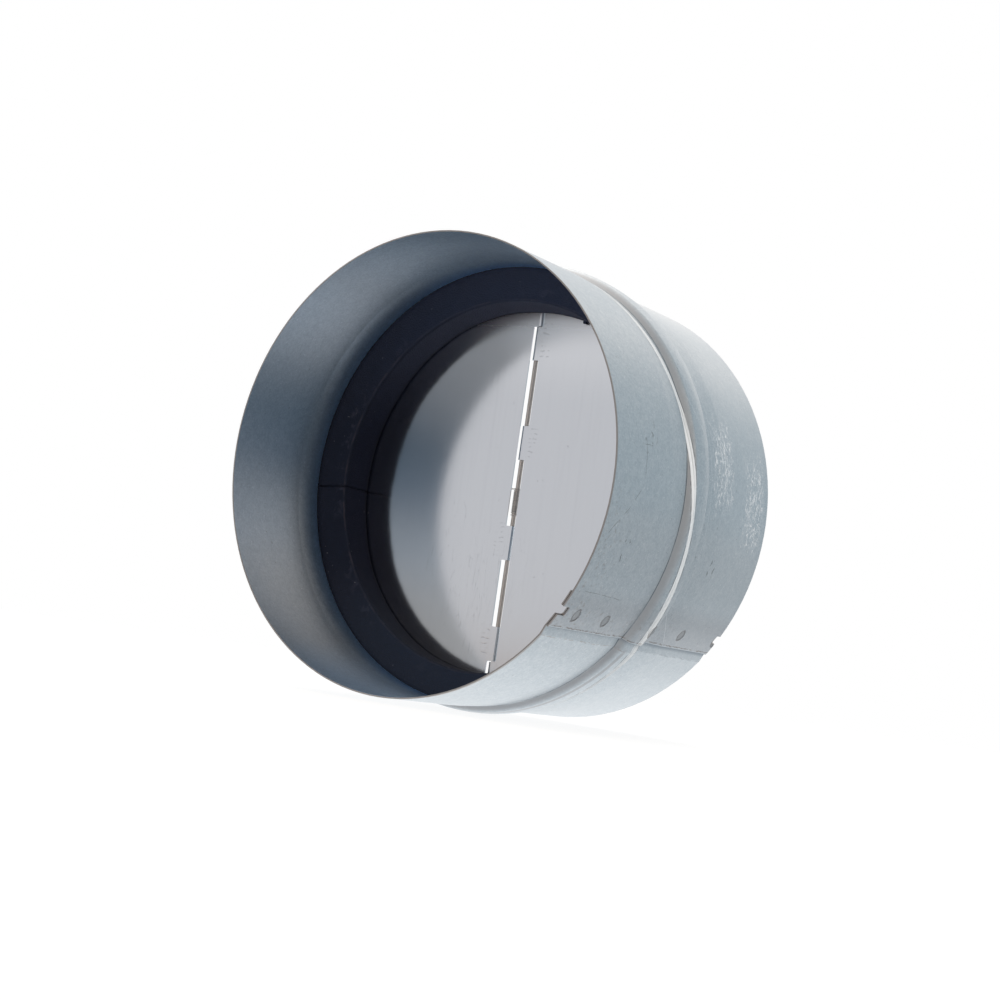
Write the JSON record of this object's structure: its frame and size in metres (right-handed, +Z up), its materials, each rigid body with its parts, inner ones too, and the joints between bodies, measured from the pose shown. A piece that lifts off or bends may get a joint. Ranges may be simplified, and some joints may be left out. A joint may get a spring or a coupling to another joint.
{
  "type": "backdraft damper",
  "caption": "Round duct backdraft damper: rolled sheet casing with a raised rib, foam seal ring and two sprung half-disc blades on one hinge rod.",
  "frame": {"origin": "centre of the casing on the duct axis, halfway between the two rims", "axes": "+Y along the duct in the direction of air flow, from the inlet rim to the outlet rim; +Z up along the hinge rod; +X to the right seen from the inlet"},
  "size_m": [0.2034, 0.134, 0.2034],
  "materials": {
    "galvanised_sheet": "galvanised, satin",
    "seal_foam": "matt closed-cell foam",
    "blade_sheet": "mill, semi-gloss",
    "rod_steel": "drawn, oiled",
    "clip_steel": "plated",
    "spring_wire": "drawn spring wire"
  },
  "bodies": {
    "body": {"casing": "galvanised_sheet", "seal_ring": "seal_foam", "hinge_rod": "rod_steel", "rod_clips": "clip_steel", "spring_coil": "spring_wire"},
    "left_flap": {"left_blade": "blade_sheet", "left_spring_leg": "spring_wire"},
    "right_flap": {"right_blade": "blade_sheet", "right_spring_leg": "spring_wire"}
  },
  "joints": [
    {"name": "left_blade_swing", "type": "hinge", "parent": "body", "child": "left_flap", "pos_m": [0, 0.014, 0], "axis": [0, 0, -1], "range_deg": [0, 80], "stiffness_Nm_per_rad": 0.004, "springref_deg": -114.59},
    {"name": "right_blade_swing", "type": "hinge", "parent": "body", "child": "right_flap", "pos_m": [0, 0.014, 0], "axis": [0, 0, 1], "range_deg": [0, 80], "stiffness_Nm_per_rad": 0.004, "springref_deg": -114.59}
  ]
}
